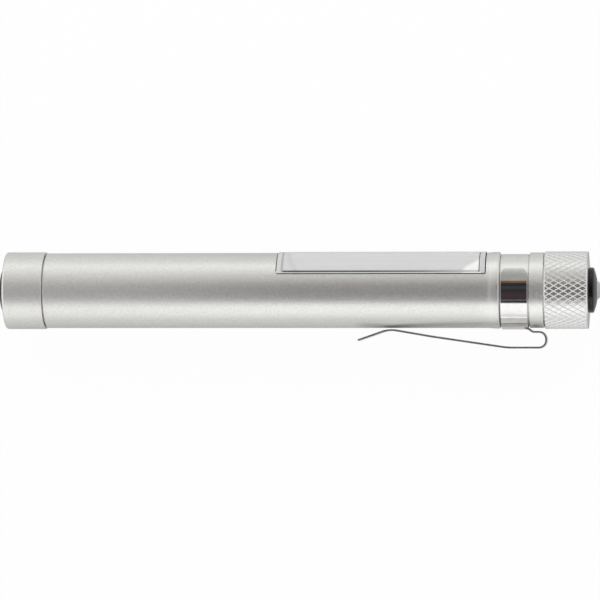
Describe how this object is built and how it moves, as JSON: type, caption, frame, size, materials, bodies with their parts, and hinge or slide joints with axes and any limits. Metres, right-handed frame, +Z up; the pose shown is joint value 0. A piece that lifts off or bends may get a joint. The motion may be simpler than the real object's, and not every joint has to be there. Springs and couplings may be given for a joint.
{
  "type": "penlight",
  "caption": "Slim round metal pocket torch with a domed tail button, a knurled head with a round-nosed LED, a side work light and a swivelling spring clip.",
  "frame": {"origin": "on the barrel's axis, at the middle of the plain grip between the tail cap and the side window", "axes": "+X along the barrel towards the light head, +Y towards the side window, clip at -Y, +Z up from the surface that it lies on"},
  "size_m": [0.137, 0.0221, 0.0176],
  "materials": {
    "anodised_barrel": "satin silver anodised, finely blasted",
    "knurled_bezel": "bright diamond knurl",
    "clear_window": "clear moulded acrylic",
    "white_reflector": "pale glossy tray",
    "white_board": "white solder mask",
    "phosphor": "yellow phosphor gel",
    "copper": "bare copper",
    "liner_plastic": "dark moulded plastic",
    "cell_can": "plain printed sleeve",
    "contact_brass": "bright stamped brass",
    "plug_plastic": "pale moulded plastic",
    "green_board": "green circuit board",
    "chip_black": "moulded black chips",
    "spring_steel": "bright drawn wire",
    "seal_rubber": "black nitrile",
    "button_black": "black moulded, faint grain",
    "switch_plastic": "dark moulded plastic",
    "holder_black": "black moulded, soft sheen",
    "led_epoxy": "clear cast epoxy",
    "polished_clip": "polished spring steel"
  },
  "bodies": {
    "barrel": {"barrel": "anodised_barrel", "side_lens": "clear_window", "cob_reflector": "white_reflector", "cob_board": "white_board", "cob_strip": "phosphor", "cob_leads": "copper", "battery_liner": "liner_plastic", "cell_rear": "cell_can", "cell_front": "cell_can", "positive_contact": "contact_brass", "contact_plug": "plug_plastic", "driver_board": "green_board", "driver_chips": "chip_black", "spring_pad": "contact_brass", "head_spring": "spring_steel", "head_o_ring": "seal_rubber", "tail_o_ring": "seal_rubber"},
    "switch_cartridge": {"switch_housing": "switch_plastic", "switch_board": "green_board", "fixed_contacts": "contact_brass", "switch_spring": "spring_steel", "battery_spring": "spring_steel"},
    "tail_cap": {"tail_cap": "anodised_barrel", "retaining_ring": "contact_brass"},
    "button": {"push_button": "button_black", "switch_plunger": "plug_plastic", "moving_contact": "contact_brass"},
    "light_module": {"led_holder": "holder_black", "led": "led_epoxy", "led_board": "green_board", "led_leads": "spring_steel"},
    "bezel": {"bezel": "knurled_bezel"},
    "clip": {"clip_band": "polished_clip"},
    "clip_arm": {"clip_arm": "polished_clip"}
  },
  "joints": [
    {"name": "tail_slide", "type": "slide", "parent": "barrel", "child": "switch_cartridge", "axis": [-1, 0, 0], "range_m": [0, 0.0041], "deforming": ["battery_spring"]},
    {"name": "tail_turn", "type": "hinge", "parent": "switch_cartridge", "child": "tail_cap", "pos_m": [-0.031, 0, 0], "axis": [-1, 0, 0], "range_deg": [0, 1440]},
    {"name": "button_press", "type": "slide", "parent": "switch_cartridge", "child": "button", "axis": [1, 0, 0], "range_m": [0, 0.0012], "stiffness_N_per_m": 1500, "springref_m": -0.001, "deforming": ["switch_spring"]},
    {"name": "head_slide", "type": "slide", "parent": "barrel", "child": "light_module", "axis": [1, 0, 0], "range_m": [0, 0.0041], "deforming": ["head_spring"]},
    {"name": "bezel_turn", "type": "hinge", "parent": "light_module", "child": "bezel", "pos_m": [0.091, 0, 0], "axis": [1, 0, 0], "range_deg": [0, 1440]},
    {"name": "clip_swivel", "type": "hinge", "parent": "barrel", "child": "clip", "pos_m": [0.0802, 0, 0], "axis": [1, 0, 0], "continuous": true},
    {"name": "clip_flex", "type": "hinge", "parent": "clip", "child": "clip_arm", "pos_m": [0.0874, -0.01134, 0], "axis": [0, 0, 1], "range_deg": [0, 6], "stiffness_Nm_per_rad": 2, "springref_deg": -1.72}
  ],
  "couplings": [
    {"joint": "tail_slide", "follows": "tail_turn", "m_per_rad": 0.00015915},
    {"joint": "head_slide", "follows": "bezel_turn", "m_per_rad": 0.00015915}
  ]
}
